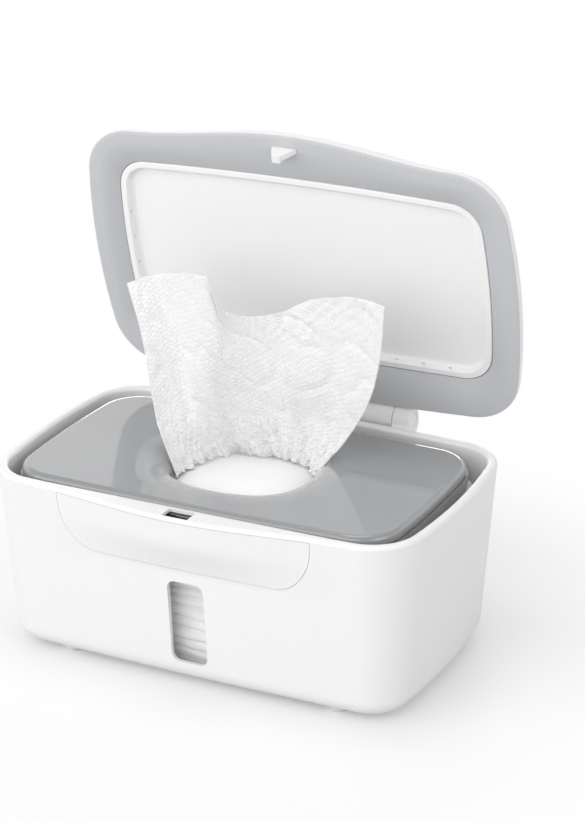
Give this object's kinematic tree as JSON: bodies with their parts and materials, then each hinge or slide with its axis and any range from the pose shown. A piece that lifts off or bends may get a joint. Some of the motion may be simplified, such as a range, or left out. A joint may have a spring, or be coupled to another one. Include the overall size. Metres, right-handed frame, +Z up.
{
  "type": "wipes dispenser",
  "caption": "Low box with a sprung hinged lid, a press latch and a loose weighted plate, through whose flared opening folded wipes are pulled.",
  "frame": {"origin": "on the floor, under the middle of the box round the whole object with its lid open", "axes": "+Z up, -Y towards the front with the latch and the window, +X to the right seen from the front"},
  "size_m": [0.223, 0.1544, 0.2377],
  "materials": {
    "white_plastic": "satin",
    "clear_plastic": "clear",
    "soft_foot": "matt",
    "grey_seal": "matt",
    "grey_plastic": "glossy",
    "black_plastic": "satin",
    "steel": "bright",
    "wipe_cloth": "embossed nonwoven"
  },
  "bodies": {
    "tub": {"tub_shell": "white_plastic", "window_lens": "clear_plastic", "foot_front_left": "soft_foot", "foot_front_right": "soft_foot", "foot_rear_left": "soft_foot", "foot_rear_right": "soft_foot", "latch_housing": "white_plastic", "housing_screws": "steel", "button_spring_left": "steel", "button_spring_right": "steel", "hinge_bracket": "white_plastic", "hinge_screws": "steel", "hinge_pin": "steel", "hinge_cap_left": "white_plastic", "hinge_cap_right": "white_plastic", "hinge_spring": "steel", "wipe_stack": "wipe_cloth"},
    "latch_button": {"button_pad": "white_plastic", "latch_catch": "black_plastic", "strike_plate": "steel"},
    "lid": {"lid_shell": "white_plastic", "lid_seal": "grey_seal", "lid_liner": "white_plastic", "latch_hook": "white_plastic", "lid_hinge_barrel": "white_plastic"},
    "weight_plate": {"plate_cover": "grey_plastic", "plate_base": "grey_plastic", "plate_weight_left": "steel", "plate_weight_right": "steel", "plate_screws": "steel", "pulled_wipe": "wipe_cloth"}
  },
  "joints": [
    {"name": "lid_hinge", "type": "hinge", "parent": "tub", "child": "lid", "pos_m": [0, 0.0706, 0.0926], "axis": [1, 0, 0], "range_deg": [0, 77.1], "stiffness_Nm_per_rad": 0.11, "springref_deg": -34.38, "deforming": ["pulled_wipe"]},
    {"name": "latch_press", "type": "slide", "parent": "tub", "child": "latch_button", "axis": [0, 1, 0], "range_m": [0, 0.0012], "stiffness_N_per_m": 800, "springref_m": -0.001, "deforming": ["button_spring_left", "button_spring_right"]},
    {"name": "plate_drop", "type": "slide", "parent": "tub", "child": "weight_plate", "axis": [0, 0, -1], "range_m": [0, 0.055], "deforming": ["wipe_stack"]}
  ]
}
